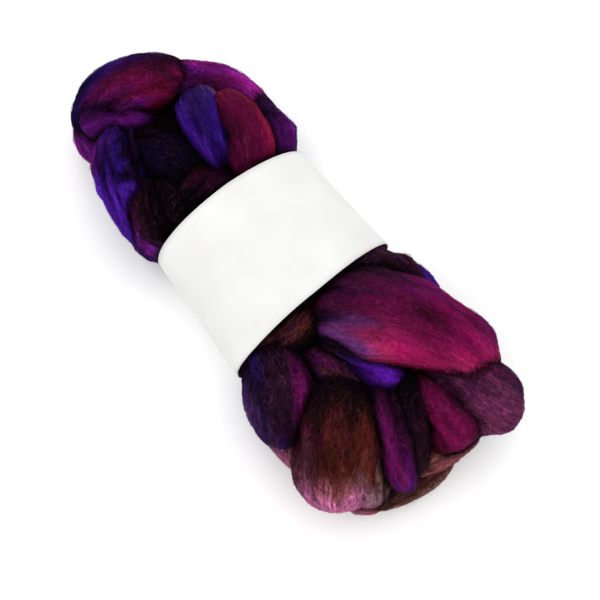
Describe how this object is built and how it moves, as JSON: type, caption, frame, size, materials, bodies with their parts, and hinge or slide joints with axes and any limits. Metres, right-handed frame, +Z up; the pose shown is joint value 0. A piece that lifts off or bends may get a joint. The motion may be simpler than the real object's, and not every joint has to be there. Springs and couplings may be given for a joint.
{
  "type": "wool roving hank",
  "caption": "Thick soft strand of dyed combed wool, folded and chained into a plump hank and held by a plain paper band.",
  "frame": {"origin": "middle of the hank's outline seen from above, on the surface it lies on", "axes": "+X along the hank towards its end with the widest fold, +Y across it, +Z up"},
  "size_m": [0.307, 0.1332, 0.086],
  "materials": {
    "roving": "matt",
    "band": "matt"
  },
  "bodies": {
    "root": {"roving": "roving", "paper_band": "band"}
  },
  "joints": []
}
